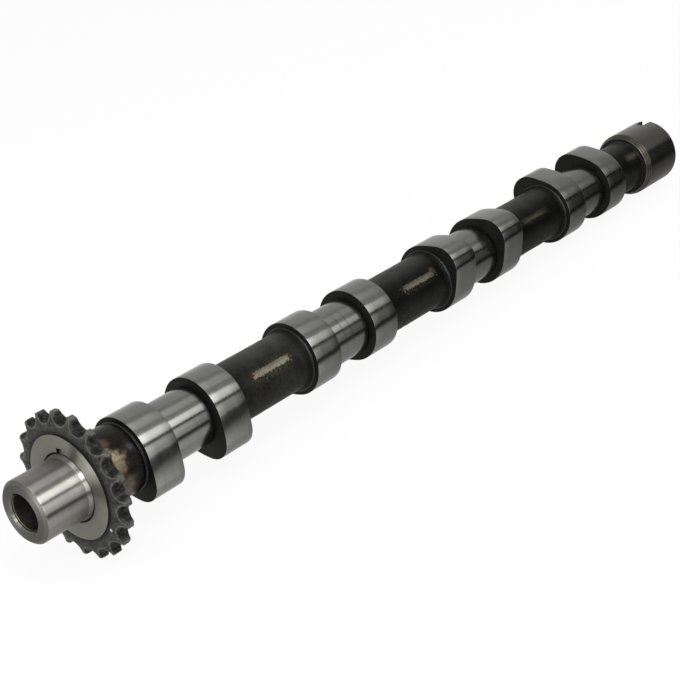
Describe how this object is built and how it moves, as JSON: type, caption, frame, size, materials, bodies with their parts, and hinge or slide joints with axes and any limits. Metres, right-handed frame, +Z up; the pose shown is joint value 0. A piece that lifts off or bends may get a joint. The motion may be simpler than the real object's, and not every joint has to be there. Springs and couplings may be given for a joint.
{
  "type": "camshaft",
  "caption": "Overhead camshaft with paired cam lobes beside ground journals, a pressed-on chain sprocket behind a tapped nose, and a slotted tail journal.",
  "frame": {"origin": "centre of the nose's end face", "axes": "+X along the shaft from the nose to the tail; +Z up, in line with the sprocket's key and the tail's drive slot; cam noses of the first cylinder point at 230.5 degrees about +X, counted from +Y towards +Z"},
  "size_m": [0.4187, 0.0577, 0.0578],
  "materials": {
    "casting": "near-black as cast between the lobes; ground bright on lobes, journals, nose and tail",
    "sprocket": "dark phosphate, worn lighter at the tooth gaps",
    "key": "plain machined steel"
  },
  "bodies": {
    "root": {"camshaft": "casting", "timing_sprocket": "sprocket", "sprocket_key": "key"}
  },
  "joints": []
}
